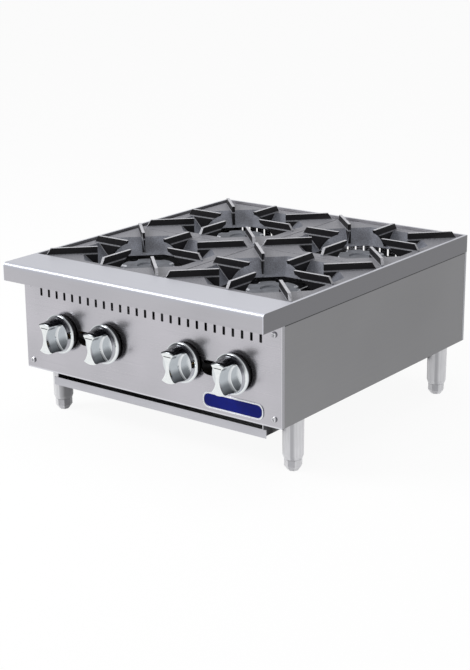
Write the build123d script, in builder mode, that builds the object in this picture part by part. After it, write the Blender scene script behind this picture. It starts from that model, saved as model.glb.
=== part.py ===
from build123d import *
from math import cos, hypot, radians, sin
import os

# Countertop gas cooktop with four open burners, in millimetres
# +X is right, +Y is back and +Z is up; the origin is on the floor, under the middle of the whole

# Body
body_width = 610.0
body_depth = 700.0  # front rail to back panel
panel_height = 186.0
frame_height = 35.0  # top frame above the panels
leg_height = 102.0  # floor to the underside of the body
sheet = 1.5
joint_gap = 0.4  # between neighbouring sheet parts
thread_clearance = 0.05

# Top frame
rail_overhang = 54.0  # front rail ahead of the front panel
rail_depth = 89.0  # flat top of the front rail
rail_bend = 6.0
rim_width = 5.5
rim_bend = 1.2
ledge_width = 13.0

# Panels
panel_return = 8.0
side_flange = 28.0
slot_pitch = 20.0
slot_count = 27
slot_width = 4.5
slot_height = 15.0
slot_corner = 1.4
slot_drop = 28.0  # slot centres below the top frame
hole_width = 40.0  # lighting holes
hole_height = 28.0
hole_drop = 103.0  # their centres below the top frame
screw_inset = 16.0
screw_radius = 2.0
screw_length = 14.0
screw_head = 4.6
screw_rise = 2.6
screw_clearance = 0.2

# Badge
badge_width = 134.0
badge_height = 30.0
badge_corner = 13.0
badge_inset = 39.0  # from the body's right edge
badge_lift = 23.0  # its middle above the body's underside
badge_thickness = 1.6
badge_border = 2.6
badge_recess = 0.5

# Grates
grate_gap = 2.0
plate_drop = 5.5  # grate plate below the rim
plate_thickness = 6.0
plate_corner = 3.0
plate_border = 22.5  # plate outside the flats of its bowl
bowl_sides = 8
bowl_run = 31.0
bowl_depth = 31.5
bowl_wall = 7.0  # measured level
fin_rise = 9.0  # fin tops above the rim
fin_thickness = 6.0
fin_reach = 51.0  # free ends of the middle fins, from the burner's axis
fin_tip = 7.0
fin_tip_slope = 3.0
fin_arch = 5.8  # rise of the arch under a middle fin
fin_chamfer = 11.0
fin_margin = 11.5  # end of a corner fin to the plate's corner
fin_root = 3.0  # how deep the fins are set in the plate and the wall
middle_fin_edge = 10.5  # end of a middle fin to the plate's edge
cross_width = 18.0
cross_depth = 22.0
cross_sheet = 2.0

# Burner heads
head_radius = 54.0
head_height = 16.0
head_chamfer = 3.0
head_drop = 12.0  # seat of the head below the grate's bowl
head_lobes = 6
head_turn = 15.0
notch_radius = 9.5
notch_fillet = 4.0
port_radius = 1.3
port_depth = 8.0
port_count = 6  # in each lobe
port_pitch = 5.2
port_height = 7.0
head_well = 22.0
head_well_depth = 3.0
spigot_height = 8.0
spigot_clearance = 0.4

# Burners
burner_radius = 46.0
burner_wall = 5.0
burner_skirt = 12.0
burner_cone = 30.0
tube_radius = 17.0
tube_wall = 4.0
tube_bend = 22.0
tube_lead = 13.0  # straight behind the mouth
tube_approach = 38.0  # straight ahead of the burner's axis
mouth_setback = 66.0  # burner mouths behind the front panel
mouth_radius = 20.5
mouth_wall = 3.0
mouth_length = 16.0
ear_width = 16.0
ear_thickness = 6.0
ear_overlap = 18.0
rail_offset = 46.0  # burner rails behind the burner's axis
rail_leg = 20.0
rail_sheet = 2.0

# Air shutters
shutter_clearance = 0.3
shutter_sheet = 1.2
shutter_grip = 9.0  # over the mouth
shutter_space = 3.0  # ahead of the mouth
shutter_hole = 8.6
window_radius = 3.3
window_circle = 14.6
window_count = 6

# Gas supply
control_drop = 100.0  # knob axes below the top frame
knob_offset = 56.0  # knob axes beside the burner's axis
manifold_size = 32.0
manifold_wall = 2.5
manifold_setback = 28.0  # its middle behind the front panel
manifold_drop = 22.0  # its top below the knob axes
manifold_end = 18.0  # past the middle of the gas pipe
valve_setback = 6.0
valve_radius = 12.0
valve_length = 38.0
valve_nut = 11.0
valve_nut_length = 8.0
valve_stub = 7.0
outlet_radius = 7.0
outlet_length = 6.0
outlet_bore = 4.0
orifice_flats = 14.0
orifice_length = 18.0
orifice_bore = 1.0
pipe_radius = 13.335  # three-quarter inch gas pipe
pipe_bore = 10.46
pipe_spacing = 38.0  # beside the last knob axis
pipe_clearance = 2.0
collar_flats = 36.0
collar_length = 6.0
inlet_reach = 38.0  # behind the back panel

# Pilots
pilot_radius = 6.0
pilot_height = 30.0
pilot_bore = 2.0
pilot_screw = 3.0
pilot_screw_length = 6.0
tubing_radius = 3.0
tubing_bore = 2.0
tubing_bend = 9.0
tubing_level = 38.0  # under the seats of the heads
tubing_gap = 8.0  # beside the burner heads
tubing_slant = 45.0  # depth of the slanting run
branch_radius = 2.6
branch_bore = 1.7
tip_radius = 4.5
tip_length = 14.0
tip_rise = 2.0  # above the seats of the heads

# Knobs
stem_radius = 4.0
stem_clearance = 0.05
stem_hole = 7.0
stem_depth = 16.0  # in the valve
stem_grip = 14.0  # in the knob's core
core_gap = 3.0  # ahead of the front panel
core_radius = 35.0
core_length = 9.0
core_plug = 7.0
core_fit = 0.1
cap_radius = 38.0
cap_edge = 1.6
cap_flare = 6.5
cap_waist = 33.5
cap_front = 28.5
cap_height = 30.0
cap_round = 3.5
cap_wall = 7.5
scoop_radius = 34.0
scoop_floor = 11.5  # above the back of the cap
scoop_fillet = 5.0
scoop_draft = 1.6
grip_half = 3.4  # half of the grip at its waist

# Legs
leg_inset = 25.0
front_leg_setback = 70.0  # behind the front panel
back_leg_setback = 64.0  # ahead of the back panel
leg_radius = 19.8
leg_wall = 2.5
leg_taper = 0.7
leg_shoulder = 2.6
leg_shoulder_height = 7.0
leg_cap = 6.0
leg_plug = 12.0
leg_stud = 6.0
leg_stud_rise = 12.0
leg_stud_clearance = 0.3
nut_size = 34.0
nut_thickness = 8.0
foot_height = 21.7
foot_gap = 0.8
foot_radius = 16.6
foot_sides = 8
foot_base = 10.0
foot_taper = 9.0
foot_stud = 8.0
foot_stud_length = 34.0
foot_clearance = 0.08

# Base
base_sheet = 2.0
base_upturn = 20.0
base_side = 80.0
base_front = 58.0
base_back = 44.0

# Crumb tray and its runners
tray_sheet = 1.2
tray_setback = 21.0  # behind the front panel
tray_back_gap = 40.0
tray_depth = 34.0  # tray's underside below the body
tray_front = 16.0
tray_flange = 7.0
tray_top_gap = 6.0
tray_clearance = 0.5
tray_lift = 0.3
runner_sheet = 1.5
runner_foot = 7.5
runner_head = 15.5
runner_gap = 2.7  # runner to leg

os.makedirs("parts", exist_ok=True)

# Planes and levels that follow from those sizes
rail_y = -(body_depth + inlet_reach) / 2
back_y = rail_y + body_depth
body_y = (rail_y + back_y) / 2
panel_y = rail_y + rail_overhang
seam_z = leg_height + panel_height
rim_z = seam_z + frame_height
panel_z = leg_height + panel_height / 2
inside_x = body_width / 2 - sheet
side_front = panel_y + panel_return + joint_gap
side_back = back_y - panel_return - joint_gap
screw_span = body_width - 2 * screw_inset
screw_rows = panel_height - 2 * screw_inset

recess_front = rail_y + rail_depth
recess_back = back_y - rim_width
recess_y = (recess_front + recess_back) / 2
recess_width = body_width - 2 * rim_width
recess_depth = recess_back - recess_front

plate_z = rim_z - plate_drop
ledge_z = plate_z - plate_thickness
bowl_z = plate_z - bowl_depth
fin_z = rim_z + fin_rise
grate_width = (recess_width - 3 * grate_gap) / 2
grate_depth = (recess_depth - 3 * grate_gap) / 2
bowl_top = grate_width / 2 - plate_border
bowl_bottom = bowl_top - bowl_run

burner_x = (grate_width + grate_gap) / 2
front_row = recess_y - (grate_depth + grate_gap) / 2
back_row = recess_y + (grate_depth + grate_gap) / 2
head_z = bowl_z - head_drop
throat_z = head_z - burner_skirt - burner_cone
control_z = seam_z - control_drop
mouth_y = panel_y + mouth_setback
tube_turn = mouth_y + mouth_length + tube_lead
tube_shift = front_row - tube_approach - tube_turn
rail_z = throat_z - rail_sheet * 2

valve_y = panel_y + valve_setback
outlet_y = valve_y + valve_nut_length + valve_length
manifold_y = panel_y + manifold_setback
manifold_top = control_z - manifold_drop
manifold_z = manifold_top - manifold_size / 2
knob_xs = [side * burner_x + step for side in (-1, 1) for step in (-knob_offset, knob_offset)]
pipe_x = knob_xs[-1] + pipe_spacing
cap_back = core_gap + core_length
cap_top = cap_back + cap_height
scoop_x = scoop_radius + grip_half

leg_x = body_width / 2 - leg_inset
leg_ys = [panel_y + front_leg_setback, back_y - back_leg_setback]
leg_z = foot_height + foot_gap
runner_x = leg_x - leg_radius - runner_gap
tray_half = runner_x - runner_sheet - tray_clearance
tray_wall = tray_half - tray_clearance - tray_flange
tray_y = panel_y + tray_setback
tray_length = back_y - tray_back_gap - tray_y
tray_z = leg_height - tray_depth
tray_top = leg_height - tray_top_gap

burners = {
    "front_left": (-burner_x, front_row, knob_xs[0]),
    "front_right": (burner_x, front_row, knob_xs[3]),
    "back_left": (-burner_x, back_row, knob_xs[1]),
    "back_right": (burner_x, back_row, knob_xs[2]),
}
legs = {
    "front_left": (-leg_x, leg_ys[0]),
    "front_right": (leg_x, leg_ys[0]),
    "back_left": (-leg_x, leg_ys[1]),
    "back_right": (leg_x, leg_ys[1]),
}


def save(piece, name):
    piece.label = name
    export_step(piece, "parts/" + name + ".step")


def facing(x, y, z):
    """Upright plane parallel to the front panel, with its normal to the front."""
    return Plane(origin=(x, y, z), x_dir=(1, 0, 0), z_dir=(0, -1, 0))


def outward(x, z):
    """Plane through a knob's axis, whose x runs out of the front panel and y runs up."""
    return Plane(origin=(x, panel_y, z), x_dir=(0, -1, 0), z_dir=(-1, 0, 0))


def radial(x, y, angle=0):
    """Upright plane through an upright axis, whose x runs out from it at the given angle."""
    c = cos(radians(angle))
    s = sin(radians(angle))
    return Plane(origin=(x, y, 0), x_dir=(c, s, 0), z_dir=(s, -c, 0))


def upright(x, y):
    return Axis((x, y, 0), (0, 0, 1))


def forward(x, z):
    return Axis((x, panel_y, z), (0, -1, 0))


# Hollow of the folded top frame, open below behind the front panel
with BuildPart() as frame_hollow:
    with BuildSketch(Plane.XY.offset(seam_z)):
        with Locations((0, body_y)):
            Rectangle(body_width - 2 * sheet, body_depth - 2 * sheet)
        with Locations((0, recess_y)):
            Rectangle(recess_width + 2 * sheet, recess_depth + 2 * sheet, mode=Mode.SUBTRACT)
    extrude(amount=frame_height - sheet)
    top_front = frame_hollow.edges().filter_by(Axis.X).group_by(Axis.Y)[0].sort_by(Axis.Z)[-1]
    fillet(top_front, rail_bend - sheet)
    with BuildSketch(Plane.XY.offset(seam_z)):
        with Locations((0, rail_y)):
            Rectangle(body_width, 2 * (rail_overhang + panel_return))
    extrude(amount=sheet, mode=Mode.SUBTRACT)

# Top frame: front rail, side and back rims, and the ledge that carries the grates
with BuildPart() as top_frame:
    with BuildSketch(Plane.XY.offset(seam_z)):
        with Locations((0, body_y)):
            Rectangle(body_width, body_depth)
    extrude(amount=frame_height)
    top_front = top_frame.edges().filter_by(Axis.X).group_by(Axis.Y)[0].sort_by(Axis.Z)[-1]
    fillet(top_front, rail_bend)
    fillet(top_frame.edges().filter_by(Axis.Y).group_by(Axis.Z)[-1], rim_bend)
    with BuildSketch(Plane.XY.offset(seam_z)):
        with Locations((0, recess_y)):
            Rectangle(recess_width, recess_depth)
    extrude(amount=frame_height, mode=Mode.SUBTRACT)
    add(frame_hollow.part, mode=Mode.SUBTRACT)
    with BuildSketch(Plane.XY.offset(ledge_z)):
        with Locations((0, recess_y)):
            Rectangle(recess_width + sheet, recess_depth + sheet)
            Rectangle(recess_width - 2 * ledge_width, recess_depth - 2 * ledge_width, mode=Mode.SUBTRACT)
    extrude(amount=-sheet)
save(top_frame.part, "top_frame")

# Channel cross welded between the ledges, under the edges where the grates meet
with BuildPart() as grate_cross:
    for width, top in ((cross_width, ledge_z), (cross_width - 2 * cross_sheet, ledge_z - cross_sheet)):
        mode = Mode.ADD if top == ledge_z else Mode.SUBTRACT
        with BuildSketch(Plane.XY.offset(ledge_z - cross_depth)):
            with Locations((0, recess_y)):
                Rectangle(recess_width - 2 * ledge_width, width)
                Rectangle(width, recess_depth - 2 * ledge_width)
        extrude(amount=top - ledge_z + cross_depth, mode=mode)
save(grate_cross.part, "grate_cross")


def folded_panel(front, inward):
    """Sheet panel with its four edges folded inwards, its row of vent slots and its screw holes."""
    with BuildPart() as panel:
        with BuildSketch(facing(0, front, panel_z)):
            Rectangle(body_width, panel_height)
        extrude(amount=-panel_return * inward)
        bends = panel.edges().filter_by(Axis.Z).sort_by(Axis.Y, reverse=inward < 0)[:2]
        fillet(bends, rim_bend)
        with BuildSketch(facing(0, front + sheet * inward, panel_z)):
            Rectangle(body_width - 2 * sheet, panel_height - 2 * sheet)
        extrude(amount=-panel_return * inward, mode=Mode.SUBTRACT)
        with BuildSketch(facing(0, front, seam_z - slot_drop)):
            with GridLocations(slot_pitch, 1, slot_count, 1):
                RectangleRounded(slot_width, slot_height, slot_corner)
        extrude(amount=-sheet * inward, mode=Mode.SUBTRACT)
        with BuildSketch(facing(0, front, panel_z)):
            with GridLocations(screw_span, screw_rows, 2, 2):
                Circle(screw_radius + screw_clearance)
        extrude(amount=-sheet * inward, mode=Mode.SUBTRACT)
    return panel.part


# Front panel with the holes for the stems and two holes to light the pilots through
with BuildPart() as front_panel:
    add(folded_panel(panel_y, 1))
    with BuildSketch(facing(0, panel_y, control_z)):
        with Locations(*[(x, 0) for x in knob_xs]):
            Circle(stem_hole)
    extrude(amount=-sheet, mode=Mode.SUBTRACT)
    with BuildSketch(facing(0, panel_y, seam_z - hole_drop)):
        with GridLocations(2 * burner_x, 1, 2, 1):
            SlotOverall(hole_width, hole_height)
    extrude(amount=-sheet, mode=Mode.SUBTRACT)
save(front_panel.part, "front_panel")

# Back panel with the hole for the gas pipe
with BuildPart() as back_panel:
    add(folded_panel(back_y, -1))
    with BuildSketch(facing(pipe_x, back_y, manifold_z)):
        Circle(pipe_radius + pipe_clearance)
    extrude(amount=sheet, mode=Mode.SUBTRACT)
save(back_panel.part, "back_panel")

# Side panels, folded inwards at the front, top and back
for name, side in (("left", -1), ("right", 1)):
    flange_x = side * (body_width - side_flange) / 2
    with BuildPart() as side_panel:
        with BuildSketch(Plane.XY.offset(leg_height)):
            with Locations((flange_x, (side_front + side_back) / 2)):
                Rectangle(side_flange, side_back - side_front)
        extrude(amount=panel_height)
        with BuildSketch(Plane.XY.offset(leg_height)):
            with Locations((flange_x - side * sheet, (side_front + side_back) / 2)):
                Rectangle(side_flange, side_back - side_front - 2 * sheet)
        extrude(amount=panel_height - sheet, mode=Mode.SUBTRACT)
        with BuildSketch(facing(0, side_front, panel_z)):
            with GridLocations(screw_span, screw_rows, 2, 2):
                Circle(screw_radius + thread_clearance)
        extrude(amount=side_front - side_back, mode=Mode.SUBTRACT)
    save(side_panel.part, "side_panel_" + name)

# Domed screws that hold the front and back panels to the side panels
with BuildPart() as panel_screws:
    for front, inward in ((panel_y, 1), (back_y, -1)):
        with BuildSketch(facing(0, front, panel_z)):
            with GridLocations(screw_span, screw_rows, 2, 2):
                Circle(screw_radius)
        extrude(amount=-screw_length * inward)
        with BuildSketch(facing(0, front, panel_z)):
            with GridLocations(screw_span, screw_rows, 2, 2):
                Circle(screw_head)
        extrude(amount=screw_rise * inward)
        rims = panel_screws.edges().filter_by(GeomType.CIRCLE).sort_by(Axis.Y, reverse=inward < 0)[:4]
        fillet(rims, screw_rise * 0.8)
save(panel_screws.part, "panel_screws")

# Blank badge plate with a raised border
badge_x = body_width / 2 - badge_inset - badge_width / 2
with BuildPart() as badge_plate:
    with BuildSketch(facing(badge_x, panel_y, leg_height + badge_lift)):
        RectangleRounded(badge_width, badge_height, badge_corner)
    extrude(amount=badge_thickness)
    with BuildSketch(facing(badge_x, panel_y - badge_thickness, leg_height + badge_lift)):
        RectangleRounded(
            badge_width - 2 * badge_border,
            badge_height - 2 * badge_border,
            badge_corner - badge_border,
        )
    extrude(amount=-badge_recess, mode=Mode.SUBTRACT)
save(badge_plate.part, "badge_plate")

# Base plate between the side panels, upturned along them, with the opening above the crumb tray
with BuildPart() as base_frame:
    base_width = 2 * inside_x
    base_depth = side_back - side_front - 2 * sheet
    with BuildSketch(Plane.XY.offset(leg_height)):
        with Locations((0, (side_front + side_back) / 2)):
            Rectangle(base_width, base_depth)
    extrude(amount=base_upturn)
    with BuildSketch(Plane.XY.offset(leg_height + base_sheet)):
        with Locations((0, (side_front + side_back) / 2)):
            Rectangle(base_width - 2 * base_sheet, base_depth)
    extrude(amount=base_upturn, mode=Mode.SUBTRACT)
    with BuildSketch(Plane.XY.offset(leg_height)):
        with Locations((0, (side_front + base_front + side_back - base_back) / 2)):
            Rectangle(body_width - 2 * base_side, side_back - base_back - side_front - base_front)
        with Locations(*legs.values()):
            Circle(leg_stud + leg_stud_clearance)
    extrude(amount=base_sheet, mode=Mode.SUBTRACT)
save(base_frame.part, "base_frame")

# Legs: closed tubes with a stud on top, which goes through the base
for name, (x, y) in legs.items():
    with BuildPart() as leg:
        with BuildSketch(radial(x, y)):
            with BuildLine():
                Polyline(
                    (foot_stud + foot_clearance, leg_z),
                    (leg_radius - leg_taper - leg_shoulder, leg_z),
                    (leg_radius - leg_taper, leg_z + leg_shoulder_height),
                    (leg_radius, leg_height),
                    (leg_stud, leg_height),
                    (leg_stud, leg_height + leg_stud_rise),
                    (0, leg_height + leg_stud_rise),
                    (0, leg_height - leg_cap),
                    (leg_radius - leg_wall, leg_height - leg_cap),
                    (leg_radius - leg_taper - leg_wall, leg_z + leg_plug),
                    (foot_stud + foot_clearance, leg_z + leg_plug),
                    close=True,
                )
            make_face()
        revolve(axis=upright(x, y))
        shoulder = leg.edges().filter_by(GeomType.CIRCLE).sort_by(Axis.Z)
        shoulder = shoulder.filter_by(lambda e: abs(e.center().Z - leg_z - leg_shoulder_height) < leg_taper)
        fillet(shoulder, leg_shoulder_height / 2)
    save(leg.part, "leg_" + name)

# Levelling feet, screwed into the legs
for name, (x, y) in legs.items():
    with BuildPart() as foot:
        with BuildSketch():
            with Locations((x, y)):
                RegularPolygon(foot_base, foot_sides)
        with BuildSketch(Plane.XY.offset(foot_taper)):
            with Locations((x, y)):
                RegularPolygon(foot_radius, foot_sides)
        loft(ruled=True)
        with BuildSketch(Plane.XY.offset(foot_taper)):
            with Locations((x, y)):
                RegularPolygon(foot_radius, foot_sides)
        extrude(amount=foot_height - foot_taper)
        with BuildSketch(Plane.XY.offset(foot_height)):
            with Locations((x, y)):
                Circle(foot_stud)
        extrude(amount=foot_stud_length)
    save(foot.part, "foot_" + name)

# Square nuts of the four legs
with BuildPart() as leg_nuts:
    with BuildSketch(Plane.XY.offset(leg_height + base_sheet)):
        with Locations(*legs.values()):
            Rectangle(nut_size, nut_size)
            Circle(leg_stud + thread_clearance, mode=Mode.SUBTRACT)
    extrude(amount=nut_thickness)
save(leg_nuts.part, "leg_nuts")

# Crumb tray: a shallow pan hung by its side flanges, with a wide front strip
with BuildPart() as crumb_tray:
    with BuildSketch(Plane.XY.offset(tray_z)):
        with Locations((0, tray_y + tray_length / 2)):
            Rectangle(2 * tray_wall, tray_length)
    extrude(amount=tray_top - tray_z)
    with BuildSketch(Plane.XY.offset(tray_z + tray_sheet)):
        with Locations((0, tray_y + tray_length / 2)):
            Rectangle(2 * (tray_wall - tray_sheet), tray_length - 2 * tray_sheet)
    extrude(amount=tray_depth, mode=Mode.SUBTRACT)
    with BuildSketch(Plane.XY.offset(tray_z + tray_front)):
        with Locations((0, tray_y)):
            Rectangle(2 * (tray_wall - tray_sheet), 4 * tray_sheet)
    extrude(amount=tray_depth, mode=Mode.SUBTRACT)
    with BuildSketch(Plane.XY.offset(tray_z)):
        with Locations((0, tray_y + tray_sheet / 2)):
            Rectangle(2 * tray_half, tray_sheet)
    extrude(amount=tray_front)
    with BuildSketch(Plane.XY.offset(tray_top)):
        with Locations((0, tray_y + tray_length / 2)):
            Rectangle(2 * (tray_wall + tray_flange), tray_length)
            Rectangle(2 * (tray_wall - tray_sheet), tray_length, mode=Mode.SUBTRACT)
    extrude(amount=-tray_sheet)
save(crumb_tray.part, "crumb_tray")

# Runners: two folded strips under the base that carry the tray's flanges
runner_z = tray_top - tray_sheet - tray_lift
with BuildPart() as tray_runners:
    for side in (-1, 1):
        with BuildSketch(facing(0, tray_y + tray_sheet + tray_clearance, 0)):
            for width, low, high in (
                (runner_foot, runner_z - runner_sheet, runner_z),
                (runner_sheet, runner_z - runner_sheet, leg_height),
                (runner_head, leg_height - runner_sheet, leg_height),
            ):
                with Locations((side * (runner_x - width / 2), (low + high) / 2)):
                    Rectangle(width, high - low)
        extrude(amount=-(side_back - sheet - tray_y - tray_sheet - tray_clearance))
save(tray_runners.part, "tray_runners")


def burner_path(name):
    """Route of a mixing tube: from its mouth, across to its burner and up."""
    x, y, knob_x = burners[name]
    return FilletPolyline(
        (knob_x, mouth_y, control_z),
        (knob_x, y - tube_approach - tube_shift, control_z),
        (x, y - tube_approach, control_z),
        (x, y, control_z),
        (x, y, throat_z + burner_wall),
        radius=tube_bend,
    )


def burner_inside(x, y):
    """Space inside a burner's bowl."""
    with BuildPart() as inside:
        with BuildSketch(radial(x, y)):
            with BuildLine():
                Polyline(
                    (0, throat_z),
                    (tube_radius - tube_wall, throat_z),
                    (burner_radius - burner_wall, head_z - burner_skirt),
                    (burner_radius - burner_wall, head_z),
                    (0, head_z),
                    close=True,
                )
            make_face()
        revolve(axis=upright(x, y))
    return inside.part


# Burners: a cast bowl on a mixing tube, with an ear that rests on the burner rail
for name, (x, y, knob_x) in burners.items():
    with BuildPart() as burner:
        with BuildSketch(radial(x, y)):
            with BuildLine():
                Polyline(
                    (0, throat_z - burner_wall),
                    (tube_radius, throat_z - burner_wall),
                    (burner_radius, head_z - burner_skirt),
                    (burner_radius, head_z),
                    (0, head_z),
                    close=True,
                )
            make_face()
        revolve(axis=upright(x, y))
        with BuildLine():
            route = burner_path(name)
        with BuildSketch(facing(knob_x, mouth_y, control_z)):
            Circle(tube_radius)
        sweep(path=route)
        with BuildSketch(facing(knob_x, mouth_y, control_z)):
            Circle(mouth_radius)
        extrude(amount=-mouth_length)
        with BuildSketch(Plane.XY.offset(rail_z)):
            with Locations((x, y + (rail_offset + ear_overlap) / 2)):
                Rectangle(ear_width, rail_offset + ear_overlap)
        extrude(amount=ear_thickness)
        with BuildSketch(facing(knob_x, mouth_y, control_z)):
            Circle(tube_radius - tube_wall)
        sweep(path=route, mode=Mode.SUBTRACT)
        with BuildSketch(facing(knob_x, mouth_y, control_z)):
            Circle(mouth_radius - mouth_wall)
        extrude(amount=-mouth_length / 2, mode=Mode.SUBTRACT)
        add(burner_inside(x, y), mode=Mode.SUBTRACT)
    save(burner.part, "burner_" + name)

# Burner rails: angles across the body under the burners' ears
for name, y in (("front", front_row), ("rear", back_row)):
    with BuildPart() as burner_rail:
        with BuildSketch(Plane.XY.offset(rail_z)):
            with Locations((0, y + rail_offset + rail_leg / 2)):
                Rectangle(2 * inside_x, rail_leg)
        extrude(amount=-rail_sheet)
        with BuildSketch(Plane.XY.offset(rail_z)):
            with Locations((0, y + rail_offset + rail_leg - rail_sheet / 2)):
                Rectangle(2 * inside_x, rail_sheet)
        extrude(amount=-rail_leg)
    save(burner_rail.part, "burner_rail_" + name)

# Burner head: six lobes with a row of flame ports in each, on a spigot
port_angle = port_pitch / head_radius
with BuildPart() as head_shape:
    with BuildSketch(Plane.XY.offset(head_z)) as lobes:
        Circle(head_radius)
        with PolarLocations(head_radius, head_lobes, start_angle=head_turn + 180 / head_lobes):
            Circle(notch_radius, mode=Mode.SUBTRACT)
        fillet(lobes.vertices(), notch_fillet)
    extrude(amount=head_height)
    chamfer(head_shape.edges().group_by(Axis.Z)[-1], head_chamfer)
    with BuildSketch(Plane.XY.offset(head_z)):
        Circle(burner_radius - burner_wall - spigot_clearance)
    extrude(amount=-spigot_height)
    with BuildSketch(Plane.XY.offset(head_z + head_height)):
        Circle(head_well)
    extrude(amount=-head_well_depth, mode=Mode.SUBTRACT)
    with BuildSketch(Plane.XY.offset(head_z - spigot_height)):
        Circle(burner_radius - 2 * burner_wall)
    extrude(amount=spigot_height + head_height / 3, mode=Mode.SUBTRACT)
    for lobe in range(head_lobes):
        for port in range(port_count):
            turn = radians(head_turn + lobe * 360 / head_lobes) + (port - (port_count - 1) / 2) * port_angle
            away = (cos(turn), sin(turn), 0)
            rim = (head_radius * away[0], head_radius * away[1], head_z + port_height)
            with BuildSketch(Plane(origin=rim, z_dir=away)):
                Circle(port_radius)
            extrude(amount=-port_depth, mode=Mode.SUBTRACT)
for name, (x, y, knob_x) in burners.items():
    with BuildPart() as burner_head:
        with Locations((x, y, 0)):
            add(head_shape.part)
    save(burner_head.part, "burner_head_" + name)

# Air shutters: caps that turn on the burners' mouths
for name, (x, y, knob_x) in burners.items():
    rim_radius = mouth_radius + shutter_clearance
    with BuildPart() as air_shutter:
        with BuildSketch(facing(knob_x, mouth_y + shutter_grip, control_z)):
            Circle(rim_radius + shutter_sheet)
        extrude(amount=shutter_grip + shutter_space + shutter_sheet)
        with BuildSketch(facing(knob_x, mouth_y + shutter_grip, control_z)):
            Circle(rim_radius)
        extrude(amount=shutter_grip + shutter_space, mode=Mode.SUBTRACT)
        with BuildSketch(facing(knob_x, mouth_y - shutter_space, control_z)):
            Circle(shutter_hole)
            with PolarLocations(window_circle, window_count):
                Circle(window_radius)
        extrude(amount=shutter_sheet, mode=Mode.SUBTRACT)
    save(air_shutter.part, "air_shutter_" + name)


def grate_outline(reach, level):
    """Eight-sided outline of the bowl at one level, by the reach of its flats."""
    with BuildSketch(Plane.XY.offset(level)) as outline:
        RegularPolygon(reach, bowl_sides, major_radius=False, rotation=180 / bowl_sides)
    return outline.sketch


def grate_bowl(wall):
    """Tapered eight-sided solid, as wide as the bowl's inside and the given wall."""
    with BuildPart() as bowl:
        add(grate_outline(bowl_bottom + wall, bowl_z))
        add(grate_outline(bowl_top + wall, plate_z))
        loft(ruled=True)
    return bowl.part


# Grate: a plate with a tapered bowl, and eight upright fins that carry the pans
fin_corner = hypot(grate_width, grate_depth) / 2 - fin_margin
with BuildPart() as grate_shape:
    with BuildSketch(Plane.XY.offset(plate_z)):
        RectangleRounded(grate_width, grate_depth, plate_corner)
    extrude(amount=-plate_thickness)
    add(grate_bowl(bowl_wall))
    add(grate_bowl(0), mode=Mode.SUBTRACT)
    for quarter in range(4):
        with BuildSketch(radial(0, 0, 45 + 90 * quarter)):
            with BuildLine():
                Polyline(
                    (bowl_bottom + fin_root, bowl_z),
                    (bowl_bottom + fin_root, fin_z),
                    (fin_corner - fin_chamfer, fin_z),
                    (fin_corner, plate_z - fin_root),
                    (bowl_top + fin_root, plate_z - fin_root),
                    close=True,
                )
            make_face()
        extrude(amount=fin_thickness / 2, both=True)
    for quarter in range(4):
        reach = (grate_width if quarter % 2 == 0 else grate_depth) / 2 - middle_fin_edge
        foot_point = Vector(bowl_bottom + fin_root, bowl_z)
        tip_point = Vector(fin_reach + fin_tip_slope, fin_z - fin_tip)
        chord = tip_point - foot_point
        arch_point = (foot_point + tip_point) / 2 + Vector(-chord.Y, chord.X).normalized() * -fin_arch
        with BuildSketch(radial(0, 0, 90 * quarter)):
            with BuildLine():
                ThreePointArc(foot_point, arch_point, tip_point)
                Polyline(
                    tip_point,
                    (fin_reach, fin_z),
                    (reach - fin_chamfer, fin_z),
                    (reach, plate_z - fin_root),
                    (bowl_top + fin_root, plate_z - fin_root),
                    foot_point,
                )
            make_face()
        extrude(amount=fin_thickness / 2, both=True)
for name, (x, y, knob_x) in burners.items():
    with BuildPart() as grate:
        with Locations((x, y, 0)):
            add(grate_shape.part)
    save(grate.part, "grate_" + name)

# Manifold: closed square tube behind the knobs, tapped for the valves, the pilots and the pipe
manifold_half = pipe_x + manifold_end
with BuildPart() as manifold:
    with BuildSketch(Plane.XY.offset(manifold_top)):
        with Locations((0, manifold_y)):
            Rectangle(2 * manifold_half, manifold_size)
    extrude(amount=-manifold_size)
    with BuildSketch(Plane.XY.offset(manifold_top - manifold_wall)):
        with Locations((0, manifold_y)):
            Rectangle(2 * (manifold_half - manifold_wall), manifold_size - 2 * manifold_wall)
    extrude(amount=2 * manifold_wall - manifold_size, mode=Mode.SUBTRACT)
    with BuildSketch(Plane.XY.offset(manifold_top)):
        with Locations(*[(x, manifold_y) for x in knob_xs]):
            Circle(valve_stub + thread_clearance)
        with Locations((-burner_x, manifold_y), (burner_x, manifold_y)):
            Circle(pilot_bore)
    extrude(amount=-manifold_wall, mode=Mode.SUBTRACT)
    with BuildSketch(facing(pipe_x, manifold_y + manifold_size / 2, manifold_z)):
        Circle(pipe_bore)
    extrude(amount=manifold_wall, mode=Mode.SUBTRACT)
save(manifold.part, "manifold")

# Supply pipe from the manifold through the back panel, with a collar outside and the gas inlet as its end
pipe_y = manifold_y + manifold_size / 2
with BuildPart() as supply_pipe:
    with BuildSketch(facing(pipe_x, pipe_y, manifold_z)):
        Circle(pipe_radius)
    extrude(amount=pipe_y - back_y - inlet_reach)
    with BuildSketch(facing(pipe_x, back_y, manifold_z)):
        RegularPolygon(collar_flats / 2, 6, major_radius=False)
    extrude(amount=-collar_length)
    with BuildSketch(facing(pipe_x, pipe_y, manifold_z)):
        Circle(pipe_bore)
    extrude(amount=pipe_y - back_y - inlet_reach, mode=Mode.SUBTRACT)
save(supply_pipe.part, "supply_pipe")

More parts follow.
